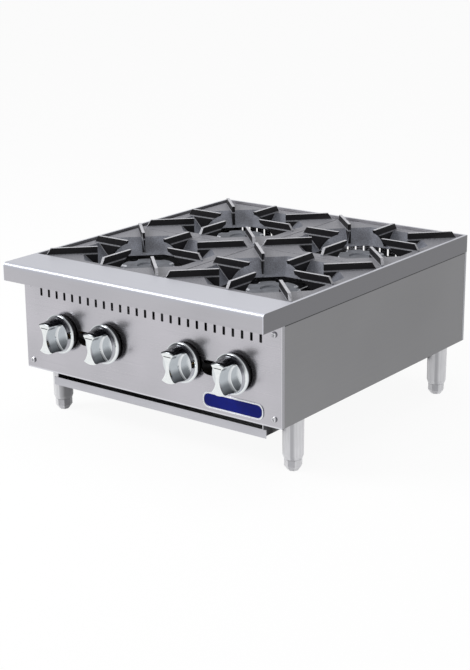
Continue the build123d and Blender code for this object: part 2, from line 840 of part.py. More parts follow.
# Gas valves, screwed into the manifold
for number, x in enumerate(knob_xs, 1):
    with BuildPart() as valve:
        with BuildSketch(facing(x, valve_y, control_z)):
            RegularPolygon(valve_nut, 6, major_radius=False)
        extrude(amount=-valve_nut_length)
        with BuildSketch(facing(x, valve_y + valve_nut_length, control_z)):
            Circle(valve_radius)
        extrude(amount=outlet_length - valve_length)
        with BuildSketch(facing(x, outlet_y, control_z)):
            Circle(outlet_radius)
        extrude(amount=outlet_length)
        with BuildSketch(Plane.XY.offset(manifold_top - manifold_wall)):
            with Locations((x, manifold_y)):
                Circle(valve_stub)
        extrude(amount=manifold_wall + manifold_drop)
        with BuildSketch(facing(x, valve_y, control_z)):
            Circle(stem_radius + stem_clearance)
        extrude(amount=-stem_depth - sheet, mode=Mode.SUBTRACT)
        with BuildSketch(facing(x, outlet_y, control_z)):
            Circle(outlet_bore)
        extrude(amount=2 * outlet_length, mode=Mode.SUBTRACT)
    save(valve.part, "valve_" + str(number))

# Orifice hoods on the valves, which point into the burners' mouths
with BuildPart() as orifice_hoods:
    with BuildSketch(facing(0, outlet_y, control_z)):
        with Locations(*[(x, 0) for x in knob_xs]):
            RegularPolygon(orifice_flats / 2, 6, major_radius=False)
            Circle(orifice_bore, mode=Mode.SUBTRACT)
    extrude(amount=-orifice_length)
save(orifice_hoods.part, "orifice_hoods")

# Pilot valves behind the lighting holes, each with its adjusting screw
with BuildPart() as pilot_valves:
    with BuildSketch(Plane.XY.offset(manifold_top)):
        with Locations((-burner_x, manifold_y), (burner_x, manifold_y)):
            Circle(pilot_radius)
    extrude(amount=pilot_height)
    with BuildSketch(facing(0, manifold_y, manifold_top + pilot_height / 2)):
        with GridLocations(2 * burner_x, 1, 2, 1):
            Circle(pilot_screw)
    extrude(amount=pilot_radius + pilot_screw_length)
    with BuildSketch(Plane.XY.offset(manifold_top)):
        with Locations((-burner_x, manifold_y), (burner_x, manifold_y)):
            Circle(pilot_bore)
    extrude(amount=pilot_height, mode=Mode.SUBTRACT)
save(pilot_valves.part, "pilot_valves")

# Pilot tubes: one on each side, along the burners, with a tip beside each head
pilot_top = manifold_top + pilot_height
tubing_z = head_z - tubing_level
tubing_x = burner_x - head_radius - tubing_gap
with BuildPart() as pilot_tubes:
    for side in (-1, 1):
        for radius, branch, mode in (
            (tubing_radius, branch_radius, Mode.ADD),
            (tubing_bore, branch_bore, Mode.SUBTRACT),
        ):
            with BuildLine():
                route = FilletPolyline(
                    (side * burner_x, manifold_y, pilot_top),
                    (side * burner_x, manifold_y, tubing_z),
                    (side * tubing_x, manifold_y + tubing_slant, tubing_z),
                    (side * tubing_x, back_row, tubing_z),
                    (side * tubing_x, back_row, head_z),
                    radius=tubing_bend,
                )
            with BuildSketch(Plane.XY.offset(pilot_top)):
                with Locations((side * burner_x, manifold_y)):
                    Circle(radius)
            sweep(path=route, mode=mode)
            with BuildSketch(Plane.XY.offset(tubing_z)):
                with Locations((side * tubing_x, front_row)):
                    Circle(branch)
            extrude(amount=head_z - tubing_z, mode=mode)
        with BuildSketch(Plane.XY.offset(head_z + tip_rise)):
            with Locations((side * tubing_x, front_row), (side * tubing_x, back_row)):
                Circle(tip_radius)
                Circle(branch_bore, mode=Mode.SUBTRACT)
        extrude(amount=-tip_length)
save(pilot_tubes.part, "pilot_tubes")

# Valve stems, through the front panel into the knobs
for number, x in enumerate(knob_xs, 1):
    with BuildPart() as valve_stem:
        with BuildSketch(facing(x, valve_y + stem_depth, control_z)):
            Circle(stem_radius)
        extrude(amount=stem_depth + valve_setback + core_gap + stem_grip)
    save(valve_stem.part, "valve_stem_" + str(number))

# Knob core: a moulded collar close to the panel, with a plug inside the cap
with BuildPart() as core_shape:
    with BuildSketch(outward(0, 0)):
        with BuildLine():
            Polyline(
                (core_gap, stem_radius),
                (core_gap, core_radius),
                (cap_back, core_radius),
                (cap_back, cap_radius - cap_wall - core_fit),
                (cap_back + core_plug, cap_radius - cap_wall - core_fit),
                (cap_back + core_plug, 0),
                (core_gap + stem_grip, 0),
                (core_gap + stem_grip, stem_radius),
                close=True,
            )
        make_face()
    revolve(axis=forward(0, 0))

# Knob cap: a flared metal skirt and a cone, scooped on both sides to leave a waisted grip
with BuildPart() as cap_shape:
    with BuildSketch(outward(0, 0)) as profile:
        with BuildLine():
            Line((cap_back, cap_radius - cap_wall), (cap_back, cap_radius))
            Line((cap_back, cap_radius), (cap_back + cap_edge, cap_radius))
            EllipticalCenterArc(
                (cap_back + cap_edge + cap_flare, cap_radius),
                cap_flare,
                cap_radius - cap_waist,
                start_angle=180,
                arc_size=90,
            )
            Polyline(
                (cap_back + cap_edge + cap_flare, cap_waist),
                (cap_top, cap_front),
                (cap_top, 0),
                (cap_back + core_plug, 0),
                (cap_back + core_plug, cap_radius - cap_wall),
                (cap_back, cap_radius - cap_wall),
            )
        make_face()
        fillet(profile.vertices().group_by(Axis.X)[-1].sort_by(Axis.Y)[-1], cap_round)
    revolve(axis=forward(0, 0))
    for side in (-1, 1):
        with BuildSketch(outward(side * scoop_x, 0)) as profile:
            with BuildLine():
                Polyline(
                    (cap_back + scoop_floor, 0),
                    (cap_back + scoop_floor, scoop_radius - scoop_draft),
                    (cap_top + scoop_draft, scoop_radius),
                    (cap_top + scoop_draft, 0),
                    close=True,
                )
            make_face()
            fillet(profile.vertices().group_by(Axis.X)[0].sort_by(Axis.Y)[-1], scoop_fillet)
        revolve(axis=forward(side * scoop_x, 0), mode=Mode.SUBTRACT)
for number, x in enumerate(knob_xs, 1):
    with BuildPart() as knob_core:
        with Locations((x, 0, control_z)):
            add(core_shape.part)
    save(knob_core.part, "knob_core_" + str(number))
    with BuildPart() as knob_cap:
        with Locations((x, 0, control_z)):
            add(cap_shape.part)
    save(knob_cap.part, "knob_cap_" + str(number))
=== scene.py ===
import math

import bpy
from mathutils import Matrix, Vector


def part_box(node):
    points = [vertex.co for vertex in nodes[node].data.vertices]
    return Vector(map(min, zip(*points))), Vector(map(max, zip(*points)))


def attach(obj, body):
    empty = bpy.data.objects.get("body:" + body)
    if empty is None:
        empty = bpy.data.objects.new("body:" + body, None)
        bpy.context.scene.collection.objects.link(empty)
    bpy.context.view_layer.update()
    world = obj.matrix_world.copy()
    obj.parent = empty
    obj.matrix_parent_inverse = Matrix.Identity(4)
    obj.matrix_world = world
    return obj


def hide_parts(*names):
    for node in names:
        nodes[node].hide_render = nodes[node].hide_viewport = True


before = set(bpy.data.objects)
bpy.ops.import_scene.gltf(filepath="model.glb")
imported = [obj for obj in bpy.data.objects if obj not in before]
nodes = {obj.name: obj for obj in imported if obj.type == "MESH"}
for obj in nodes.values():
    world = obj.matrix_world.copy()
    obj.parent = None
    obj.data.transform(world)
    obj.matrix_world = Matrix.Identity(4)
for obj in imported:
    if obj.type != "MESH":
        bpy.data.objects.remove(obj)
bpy.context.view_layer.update()        # the meshes of model.glb, as nodes
scene = bpy.context.scene
weldGap = 0.00001        # vertices nearer than this are one
print("frame loaded:", len(nodes), "nodes")

# Camera, fitted to the photo's picture of 470 x 670
cameraView = {
    "azimuth": 37.13,        # degrees, towards the right side of the front
    "elevation": 17.12,
    "roll": -0.5,
    "distance": 3.02536,
    "target": (-0.01951, -0.019, 0.14194),
    "focalPixels": 1514.92,
    "pictureHeight": 670,
    "sensor": 36.0,
    "farthest": 100,
}


def addCamera(view):
    turn, rise, roll = (math.radians(view[key]) for key in ("azimuth", "elevation", "roll"))
    back = Vector((math.sin(turn) * math.cos(rise), -math.cos(turn) * math.cos(rise), math.sin(rise)))
    level = Vector((0, 0, 1)).cross(back).normalized()
    above = back.cross(level)
    right = level * math.cos(roll) + above * math.sin(roll)
    up = above * math.cos(roll) - level * math.sin(roll)
    data = bpy.data.cameras.new("camera")
    data.sensor_width = view["sensor"]
    data.lens = view["focalPixels"] / view["pictureHeight"] * view["sensor"]
    data.clip_end = view["farthest"]
    camera = bpy.data.objects.new("camera", data)
    scene.collection.objects.link(camera)
    turned = Matrix((right, up, back)).transposed().to_4x4()
    camera.matrix_world = Matrix.Translation(Vector(view["target"]) + back * view["distance"]) @ turned
    scene.camera = camera


addCamera(cameraView)
scene.view_settings.view_transform = "Standard"
print("camera placed")


def linear(hexColor):        # sRGB hex to linear colour
    parts = [int(hexColor[i:i + 2], 16) / 255 for i in (1, 3, 5)]
    return tuple(c / 12.92 if c <= 0.04045 else ((c + 0.055) / 1.055) ** 2.4 for c in parts) + (1.0,)


# Adds a node: an input is a value or a (node, output) link, and a ramp has its stops
def add(tree, kind, inputs=None, stops=(), **settings):
    made = tree.nodes.new(kind)
    for key, value in settings.items():
        setattr(made, key, value)
    for key, value in (inputs or {}).items():
        if isinstance(value, tuple) and isinstance(value[0], bpy.types.Node):
            tree.links.new(value[0].outputs[value[1]], made.inputs[key])
        else:
            made.inputs[key].default_value = value
    for number, (place, color) in enumerate(stops):
        element = made.color_ramp.elements[number] if number < 2 else made.color_ramp.elements.new(place)
        element.position = place
        element.color = color
    return made


def emptyMaterial(name):
    material = bpy.data.materials.new(name)
    material.use_nodes = True
    material.node_tree.nodes.clear()
    return material, material.node_tree


def perMillimetre(size):        # scale of a pattern whose features are this many millimetres apart
    return 1000.0 / size


# Where things are, in metres, for patterns that follow the shape
layout = {
    "railFront": -0.369, "rimTop": 0.323,
    "burnerX": 0.14925, "rowMiddle": 0.02275, "rowHalf": 0.150875,
    "bowlBottom": 0.09475, "bowlFloor": 0.286, "bowlSlope": 31.0 / 31.5,
}


# A measure of the surface: its place, the way it faces, how far it is from the rail's bend ("bend"),
# or how far it is from the bowls' walls, taken as cones, where the fins have their roots ("root")
def measure(tree, what):
    if what in ("right", "back", "up", "side", "front"):
        facing = add(tree, "ShaderNodeNewGeometry")
        parts = add(tree, "ShaderNodeSeparateXYZ", {"Vector": (facing, "Normal")})
        if what == "side":
            return add(tree, "ShaderNodeMath", {0: (parts, "X")}, operation="ABSOLUTE"), "Value"
        if what == "front":
            return add(tree, "ShaderNodeMath", {0: (parts, "Y"), 1: -1.0}, operation="MULTIPLY"), "Value"
        return parts, {"right": "X", "back": "Y", "up": "Z"}[what]
    place = add(tree, "ShaderNodeTexCoord")
    parts = add(tree, "ShaderNodeSeparateXYZ", {"Vector": (place, "Object")})
    if what in ("X", "Y", "Z"):
        return parts, what
    if what == "across":
        return add(tree, "ShaderNodeMath", {0: (parts, "X")}, operation="ABSOLUTE"), "Value"
    if what == "bend":        # along the sheet from the rail's upper front edge
        drop = add(tree, "ShaderNodeMath", {0: (parts, "Y"), 1: (parts, "Z")}, operation="SUBTRACT")
        return add(tree, "ShaderNodeMath", {0: (drop, "Value"), 1: layout["rimTop"] - layout["railFront"]},
                   operation="ADD"), "Value"
    # across and along to the nearest burner's axis
    side = add(tree, "ShaderNodeMath", {0: (parts, "X")}, operation="ABSOLUTE")
    side = add(tree, "ShaderNodeMath", {0: (side, "Value"), 1: layout["burnerX"]}, operation="SUBTRACT")
    row = add(tree, "ShaderNodeMath", {0: (parts, "Y"), 1: layout["rowMiddle"]}, operation="SUBTRACT")
    row = add(tree, "ShaderNodeMath", {0: (row, "Value")}, operation="ABSOLUTE")
    row = add(tree, "ShaderNodeMath", {0: (row, "Value"), 1: layout["rowHalf"]}, operation="SUBTRACT")
    out = add(tree, "ShaderNodeCombineXYZ", {"X": (side, "Value"), "Y": (row, "Value")})
    reach = add(tree, "ShaderNodeVectorMath", {0: (out, "Vector")}, operation="LENGTH")
    wall = add(tree, "ShaderNodeMath", {0: (parts, "Z"), 1: layout["bowlSlope"],
                                        2: layout["bowlBottom"] - layout["bowlFloor"] * layout["bowlSlope"]},
               operation="MULTIPLY_ADD")
    gap = add(tree, "ShaderNodeMath", {0: (reach, "Value"), 1: (wall, "Value")}, operation="SUBTRACT")
    return add(tree, "ShaderNodeMath", {0: (gap, "Value")}, operation="ABSOLUTE"), "Value"


# Lays colours over a base colour: each where its measures pass from one value to another
def tinted(tree, color, tints):
    for tint in tints:
        share = None
        for what, start, end in tint["where"]:
            passed = add(tree, "ShaderNodeMapRange", {"Value": measure(tree, what), "From Min": start,
                                                      "From Max": end}, interpolation_type="SMOOTHSTEP")
            share = (passed, "Result") if share is None else (
                add(tree, "ShaderNodeMath", {0: share, 1: (passed, "Result")}, operation="MULTIPLY"), "Value")
        color = (add(tree, "ShaderNodeMix", {"Factor": share, 6: color, 7: linear(tint["color"])},
                     data_type="RGBA"), 2)
    return color


# Stainless sheet, belt-brushed: fine parallel scratches blur reflections along one way.
# Real scratches are 0.1 mm apart; these are coarser, to show in the picture.
def brushedSheet(name, look):
    material, tree = emptyMaterial(name)
    place = add(tree, "ShaderNodeTexCoord")
    fine, long = perMillimetre(look["scratch"]), perMillimetre(look["scratchLength"])
    scale = {"X": (long, fine, fine), "Y": (fine, long, fine), "Z": (fine, fine, long)}[look["grain"]]
    stretched = add(tree, "ShaderNodeMapping", {"Vector": (place, "Object"), "Scale": scale})
    scratches = add(tree, "ShaderNodeTexNoise", {"Vector": (stretched, "Vector"), "Scale": 1.0,
                                                 "Detail": 3.0})
    clouds = add(tree, "ShaderNodeTexNoise", {"Vector": (place, "Object"), "Detail": 2.0,
                                              "Scale": perMillimetre(look["cloud"])})
    uneven = add(tree, "ShaderNodeMix", {"Factor": look["cloudShare"], 2: (scratches, "Fac"),
                                         3: (clouds, "Fac")})
    color = add(tree, "ShaderNodeValToRGB", {"Fac": (uneven, 0)},
                stops=[(0.36, linear(look["dark"])), (0.64, linear(look["light"]))])
    color = tinted(tree, (color, "Color"), look.get("tints", ()))
    rough = add(tree, "ShaderNodeMapRange", {"Value": (scratches, "Fac"), "From Min": 0.3, "From Max": 0.7,
                                             "To Min": look["roughness"] - 0.03,
                                             "To Max": look["roughness"] + 0.04})
    bump = add(tree, "ShaderNodeBump", {"Height": (scratches, "Fac"), "Strength": look["bump"],
                                        "Distance": 0.0001})
    shader = add(tree, "ShaderNodeBsdfPrincipled", {"Base Color": color, "Metallic": look["metallic"],
                                                    "Roughness": (rough, "Result"),
                                                    "Normal": (bump, "Normal")})
    add(tree, "ShaderNodeOutputMaterial", {"Surface": (shader, "BSDF")})
    return material


# Galvanised or zinc-plated steel: dull grey with soft crystal flakes of 5 to 9 mm
def zincSheet(name, look):
    material, tree = emptyMaterial(name)
    place = add(tree, "ShaderNodeTexCoord")
    flakes = add(tree, "ShaderNodeTexVoronoi", {"Vector": (place, "Object"),
                                                "Scale": perMillimetre(look["flake"])})
    tone = add(tree, "ShaderNodeSeparateColor", {"Color": (flakes, "Color")})
    color = add(tree, "ShaderNodeValToRGB", {"Fac": (tone, "Red")},
                stops=[(0.0, linear(look["dark"])), (1.0, linear(look["light"]))])
    rough = add(tree, "ShaderNodeMapRange", {"Value": (tone, "Green"), "To Min": look["roughness"] - 0.06,
                                             "To Max": look["roughness"] + 0.06})
    shader = add(tree, "ShaderNodeBsdfPrincipled", {"Base Color": (color, "Color"),
                                                    "Metallic": look["metallic"],
                                                    "Roughness": (rough, "Result")})
    add(tree, "ShaderNodeOutputMaterial", {"Surface": (shader, "BSDF")})
    return material


# Cast iron, sand-cast: a sandy, blotchy skin under the look's tints, which paint light and shade by facing
# and place.
# Real sand leaves grains of 0.5 mm; these are coarser, to show in the picture.
def castIron(name, look):
    material, tree = emptyMaterial(name)
    place = add(tree, "ShaderNodeTexCoord")
    sand = add(tree, "ShaderNodeTexNoise", {"Vector": (place, "Object"), "Detail": 4.0, "Roughness": 0.65,
                                            "Scale": perMillimetre(look["grain"])})
    skin = add(tree, "ShaderNodeTexNoise", {"Vector": (place, "Object"), "Detail": 3.0,
                                            "Scale": perMillimetre(look["blotch"])})
    mottled = add(tree, "ShaderNodeValToRGB", {"Fac": (skin, "Fac")},
               stops=[(0.3, linear(look["dark"])), (0.7, linear(look["light"]))])
    color = tinted(tree, (mottled, "Color"), look["tints"])
    speckle = add(tree, "ShaderNodeValToRGB", {"Fac": (sand, "Fac")},
                  stops=[(0.32, (look["speckle"],) * 3 + (1.0,)), (0.62, (1.0, 1.0, 1.0, 1.0))])
    color = (add(tree, "ShaderNodeMix", {"Factor": 1.0, 6: color, 7: (speckle, "Color")},
                 data_type="RGBA", blend_type="MULTIPLY"), 2)
    rough = add(tree, "ShaderNodeMapRange", {"Value": (sand, "Fac"), "To Min": look["roughness"] - 0.1,
                                             "To Max": look["roughness"] + 0.12})
    bump = add(tree, "ShaderNodeBump", {"Height": (sand, "Fac"), "Strength": look["bump"],
                                        "Distance": 0.0006})
    shader = add(tree, "ShaderNodeBsdfPrincipled", {"Base Color": color, "Metallic": 0.0,
                                                    "Specular IOR Level": look["specular"],
                                                    "Roughness": (rough, "Result"),
                                                    "Normal": (bump, "Normal")})
    add(tree, "ShaderNodeOutputMaterial", {"Surface": (shader, "BSDF")})
    return material


# Plain metal, plastic or paint with a fine uneven skin, such as turned brass, chrome or black paint
def skinned(name, look):
    material, tree = emptyMaterial(name)
    place = add(tree, "ShaderNodeTexCoord")
    skin = add(tree, "ShaderNodeTexNoise", {"Vector": (place, "Object"), "Detail": 3.0,
                                            "Scale": perMillimetre(look["grain"])})
    color = add(tree, "ShaderNodeValToRGB", {"Fac": (skin, "Fac")},
                stops=[(0.3, linear(look["dark"])), (0.7, linear(look["light"]))])
    color = tinted(tree, (color, "Color"), look.get("tints", ()))
    rough = add(tree, "ShaderNodeMapRange", {"Value": (skin, "Fac"), "From Min": 0.3, "From Max": 0.7,
                                             "To Min": look["roughness"] * 0.8,
                                             "To Max": look["roughness"] * 1.25})
    bump = add(tree, "ShaderNodeBump", {"Height": (skin, "Fac"), "Strength": look["bump"],
                                        "Distance": 0.0002})
    values = {"Base Color": color, "Metallic": look["metallic"], "Roughness": (rough, "Result"),
              "Normal": (bump, "Normal")}
    if "specular" in look:
        values["Specular IOR Level"] = look["specular"]
    shader = add(tree, "ShaderNodeBsdfPrincipled", values)
    add(tree, "ShaderNodeOutputMaterial", {"Surface": (shader, "BSDF")})
    return material


# The tints are in metres of place, or in shares of how far a face turns that way.
# Satin stainless, folded: the bend along the rail catches the light, and a painted band there tempers it; the
# top is lighter as painted light, the ends' corners get a painted highlight and the sides painted shade
railSheet = brushedSheet("stainless_satin_rail", {
    "grain": "X", "scratch": 1.6, "scratchLength": 150, "cloud": 200, "cloudShare": 0.7, "dark": "#B0AFB4",
    "light": "#B7B6BB", "roughness": 0.45, "metallic": 1.0, "bump": 0.02, "tints": [
        {"color": "#B9BAC1", "where": [("up", 0.35, 0.95)]},
        {"color": "#B4B6BE", "where": [("bend", 0.0125, 0.0035)]},
        {"color": "#E0E2EA", "where": [("across", 0.3025, 0.3045), ("front", 0.3, 0.8)]},
        {"color": "#7A7A7D", "where": [("side", 0.45, 0.85)]},
    ]})
# Brushed stainless with smooth soft reflections: painted highlights on the lower edge and on the side bends,
# painted shade on the side returns, and near-black painted shade on the slot walls
panelSheet = brushedSheet("stainless_brushed_panel", {
    "grain": "X", "scratch": 1.4, "scratchLength": 160, "cloud": 150, "cloudShare": 0.72, "dark": "#B6B5BA",
    "light": "#C2C0C6", "roughness": 0.24, "metallic": 1.0, "bump": 0.004, "tints": [
        {"color": "#D6D6DC", "where": [("Z", 0.1055, 0.1035)]},
        {"color": "#9C9CA0", "where": [("side", 0.75, 0.98)]},
        {"color": "#131314", "where": [("front", 0.9, 0.6), ("back", 0.9, 0.6), ("across", 0.300, 0.298)]},
        {"color": "#DADADF", "where": [("side", 0.15, 0.45), ("side", 0.85, 0.55), ("across", 0.300, 0.302)]},
    ]})
# The sides face away from the light: a duller stainless whose flat grey is painted shade, with a dark seam
# under the top frame
sideSheet = brushedSheet("stainless_dull_side_painted_shade", {
    "grain": "Y", "scratch": 1.6, "scratchLength": 160, "cloud": 260, "cloudShare": 0.6, "dark": "#868688",
    "light": "#8D8D8F", "roughness": 0.46, "metallic": 0.55, "bump": 0.02, "tints": [
        {"color": "#2E2E30", "where": [("Z", 0.2860, 0.2868)]},
    ]})
# Plain rolled stainless: a painted highlight on the upper edge, painted light on the side walls against the
# shade under the body, and painted shade inside
traySheet = brushedSheet("stainless_tray", {
    "grain": "X", "scratch": 1.5, "scratchLength": 120, "cloud": 120, "cloudShare": 0.6, "dark": "#B9B9BF",
    "light": "#C4C4CA", "roughness": 0.34, "metallic": 0.8, "bump": 0.006, "tints": [
        {"color": "#E4E4EA", "where": [("Z", 0.0835, 0.0845)]},
        {"color": "#F2F2F6", "where": [("side", 0.5, 0.9)]},
        {"color": "#5E5E61", "where": [("Y", -0.2932, -0.2900), ("across", 0.2545, 0.2535)]},
    ]})
# Zinc coats: spangled grey on the inner frame, finer on the shutters; the runners are pale as painted light
# against the shade under the body
zincSteel = zincSheet("steel_galvanised", {
    "flake": 9, "dark": "#7E8082", "light": "#96989A", "roughness": 0.42, "metallic": 0.9})
runnerSteel = zincSheet("steel_zinc_runner", {
    "flake": 9, "dark": "#D8D8DB", "light": "#E6E6E9", "roughness": 0.5, "metallic": 0.3})
shutterSteel = zincSheet("steel_zinc_plated", {
    "flake": 5, "dark": "#8A8C8E", "light": "#9C9EA0", "roughness": 0.38, "metallic": 0.9})
# Satin tube, pale, with painted shade by facing: a dark left edge and a grey band; the front left leg has a
# darker right side and a painted shadow at its top under the body
legSteel = brushedSheet("steel_satin_leg", {
    "grain": "Z", "scratch": 2.2, "scratchLength": 60, "cloud": 40, "cloudShare": 0.3, "dark": "#CFCFD2",
    "light": "#E2E2E5", "roughness": 0.36, "metallic": 0.6, "bump": 0.03, "tints": [
        {"color": "#B2B2B6", "where": [("right", 0.2, 0.4), ("right", 0.72, 0.52)]},
        {"color": "#3E3E40", "where": [("right", -0.6, -0.78)]},
        {"color": "#77777A", "where": [("right", 0.4, 0.8), ("X", 0.0, -0.1), ("Y", 0.0, -0.1)]},
        {"color": "#141416", "where": [("Z", 0.0845, 0.0885), ("X", 0.0, -0.1), ("Y", 0.0, -0.1)]},
    ]})
# Grates: painted light and shade by facing: lighter upward plates, near-black painted shade on upright fins,
# painted highlights on the fin tops and a painted highlight line at their roots
grateIron = castIron("cast_iron_grate", {
    "grain": 2.6, "blotch": 28, "dark": "#686A72", "light": "#7E818B", "speckle": 0.55, "roughness": 0.5,
    "bump": 0.5, "specular": 0.3, "tints": [
        {"color": "#86868C", "where": [("up", 0.78, 0.95)]},
        {"color": "#0D0C11", "where": [("up", 0.45, 0.15)]},
        {"color": "#A4A5AB", "where": [("up", 0.5, 0.2), ("root", 0.0030, 0.0012), ("Z", 0.319, 0.3175)]},
        {"color": "#A4A5AB", "where": [("up", 0.5, 0.2), ("Z", 0.3205, 0.3185), ("Z", 0.3165, 0.3172)]},
        {"color": "#C4C4C9", "where": [("up", 0.3, 0.6), ("Z", 0.3188, 0.3205)]},
    ]})
# Burner heads: dark tops; painted light makes the chamfer and the upright faces paler, and painted shade goes
# near black towards the seat
headIron = castIron("cast_iron_burner_head", {
    "grain": 1.8, "blotch": 14, "dark": "#4E5056", "light": "#686B72", "speckle": 0.7, "roughness": 0.55,
    "bump": 0.35, "specular": 0.3, "tints": [
        {"color": "#C0C2C8", "where": [("up", 0.5, 0.66), ("up", 0.95, 0.8)]},
        {"color": "#8A8D94", "where": [("up", 0.4, 0.2), ("Z", 0.2775, 0.2790)]},
        {"color": "#131316", "where": [("Z", 0.2780, 0.2760)]},
    ]})
# Burner bowls and tubes: dark and dull, never wiped
burnerIron = castIron("cast_iron_burner", {
    "grain": 2.4, "blotch": 20, "dark": "#3A3A3C", "light": "#4A4A4D", "speckle": 0.7, "roughness": 0.6,
    "bump": 0.4, "specular": 0.3, "tints": []})
# Satin black paint on the gas pipes
pipePaint = skinned("paint_black_pipe", {
    "grain": 3.0, "dark": "#1D1D1F", "light": "#262628", "roughness": 0.35, "metallic": 0.0, "bump": 0.2})
# Turned brass: warm and shiny
brass = skinned("brass_machined", {
    "grain": 2.0, "dark": "#B49149", "light": "#C9A860", "roughness": 0.28, "metallic": 1.0, "bump": 0.1})
# Drawn tube: smooth pale grey
tubing = skinned("aluminium_drawn_tube", {
    "grain": 4.0, "dark": "#9C9DA0", "light": "#AEAFB2", "roughness": 0.3, "metallic": 1.0, "bump": 0.05})
# Bright screws: a painted highlight on faces turned to the left and painted shade on faces turned to the
# right
screwSteel = skinned("steel_bright_screw", {
    "grain": 1.5, "dark": "#C4C4C8", "light": "#DCDCE0", "roughness": 0.2, "metallic": 1.0, "bump": 0.1,
    "tints": [
        {"color": "#77777C", "where": [("right", 0.2, 0.8)]},
        {"color": "#F4F4F7", "where": [("right", -0.15, -0.5)]},
    ]})
# Turned steel: greyer than the screws
stemSteel = skinned("steel_turned_stem", {
    "grain": 1.2, "dark": "#9A9A9C", "light": "#B0B0B2", "roughness": 0.3, "metallic": 1.0, "bump": 0.1})
# Die-cast border: near white, with painted shade on its right-facing edge
badgeMetal = skinned("zinc_die_cast_badge", {
    "grain": 2.0, "dark": "#E2E4EA", "light": "#ECEEF3", "roughness": 0.3, "metallic": 0.5, "bump": 0.05,
    "tints": [
        {"color": "#77797F", "where": [("right", 0.4, 0.9)]},
    ]})
# Enamel: deep blue with little shine
badgeBlue = skinned("enamel_blue", {
    "grain": 9.0, "dark": "#08146A", "light": "#0C1A78", "roughness": 0.5, "metallic": 0.0, "bump": 0.0,
    "specular": 0.12})
# Moulded phenolic: matt black behind the cap
knobBlack = skinned("phenolic_black", {
    "grain": 2.5, "dark": "#0B0B0C", "light": "#121213", "roughness": 0.75, "metallic": 0.0, "bump": 0.1})
# Satin chrome on a die casting, with painted reflections by facing: white front faces, pale grey scoops,
# grey upward faces and dark tops, painted as the mirror of the rail's dark underside
knobMetal = skinned("chrome_satin_die_cast", {
    "grain": 7.0, "dark": "#E4E8E9", "light": "#EEF1F1", "roughness": 0.13, "metallic": 1.0, "bump": 0.02,
    "tints": [
        {"color": "#D2D5D8", "where": [("side", 0.35, 0.75), ("Y", -0.3672, -0.3640),
                                       ("Y", -0.3370, -0.3390)]},
        {"color": "#D6DADD", "where": [("front", 0.75, 0.97), ("Y", -0.3640, -0.3560)]},
        {"color": "#84878A", "where": [("up", 0.1, 0.45)]},
        {"color": "#2B2E31", "where": [("up", 0.4, 0.85), ("Y", -0.330, -0.338)]},
    ]})
# Printed ink: flat black
knobInk = skinned("ink_black_mark", {
    "grain": 1.0, "dark": "#1A1A1C", "light": "#242426", "roughness": 0.5, "metallic": 0.0, "bump": 0.05})

finishes = {
    "top_frame": railSheet, "front_panel": panelSheet, "back_panel": panelSheet, "side_panel": sideSheet,
    "base_frame": zincSteel, "tray_runners": runnerSteel, "grate_cross": zincSteel, "burner_rail": zincSteel,
    "leg_nuts": zincSteel, "crumb_tray": traySheet, "manifold": pipePaint, "supply_pipe": pipePaint,
    "valve_stem": stemSteel, "valve": brass, "orifice_hoods": brass, "pilot_valves": brass,
    "pilot_tubes": tubing, "panel_screws": screwSteel, "badge_plate": badgeMetal, "knob_core": knobBlack,
    "knob_cap": knobMetal, "burner_head": headIron, "burner": burnerIron, "air_shutter": shutterSteel,
    "grate": grateIron, "leg": legSteel, "foot": legSteel,
}
for name, node in nodes.items():
    stem = max((key for key in finishes if name.startswith(key)), key=len)
    node.data.materials.clear()
    node.data.materials.append(finishes[stem])
print("materials given to", len(nodes), "nodes")


def deselect():
    bpy.ops.object.select_all(action="DESELECT")


def takeUp(piece):        # selects one piece alone
    deselect()
    piece.select_set(True)
    bpy.context.view_layer.objects.active = piece


def applyPlace(piece):
    takeUp(piece)
    bpy.ops.object.transform_apply(location=True, rotation=True, scale=True)


def applyModifier(piece, kind, **settings):
    takeUp(piece)
    made = piece.modifiers.new(kind.lower(), kind)
    for key, value in settings.items():
        setattr(made, key, value)
    bpy.ops.object.modifier_apply(modifier=made.name)


def smooth(piece, angle=30):        # degrees; sharper edges stay sharp
    takeUp(piece)
    bpy.ops.object.shade_smooth_by_angle(angle=math.radians(angle))


# Bevels the edges that a test picks by their two ends
def bevelEdges(piece, test, width, segments):
    takeUp(piece)
    bpy.ops.object.mode_set(mode="EDIT")
    bpy.ops.mesh.select_mode(type="EDGE")
    bpy.ops.mesh.select_all(action="DESELECT")
    bpy.ops.object.mode_set(mode="OBJECT")
    for line in piece.data.edges:
        line.select = test(*(piece.data.vertices[i].co for i in line.vertices))
    bpy.ops.object.mode_set(mode="EDIT")
    bpy.ops.mesh.bevel(offset=width, segments=segments, affect="EDGES")
    bpy.ops.object.mode_set(mode="OBJECT")


# A plate with round corners that faces the front
def roundedPlate(name, center, size, corner, segments):
    deselect()
    bpy.ops.mesh.primitive_cube_add(size=1, location=center, scale=size)
    plate = bpy.context.object
    plate.name = name
    applyPlace(plate)
    bevelEdges(plate, lambda a, b: abs(a.y - b.y) > size[1] / 2, corner, segments)
    smooth(plate)
    return plate


# Selects the vertices that a test picks, to be moved or merged in edit mode
def pickVertices(piece, test):
    takeUp(piece)
    bpy.ops.object.mode_set(mode="EDIT")
    bpy.ops.mesh.select_mode(type="VERT")
    bpy.ops.mesh.select_all(action="DESELECT")
    bpy.ops.object.mode_set(mode="OBJECT")
    for vertex in piece.data.vertices:
        vertex.select = test(vertex.co)
    bpy.ops.object.mode_set(mode="EDIT")


# A merged copy of a CAD node, to be changed and shown in its place
def copied(name, title):
    piece = nodes[name].copy()
    piece.data = nodes[name].data.copy()
    piece.name = title
    scene.collection.objects.link(piece)
    pickVertices(piece, lambda place: True)
    bpy.ops.mesh.remove_doubles(threshold=weldGap)
    bpy.ops.mesh.customdata_custom_splitnormals_clear()
    bpy.ops.mesh.normals_make_consistent(inside=False)
    bpy.ops.object.mode_set(mode="OBJECT")
    return piece


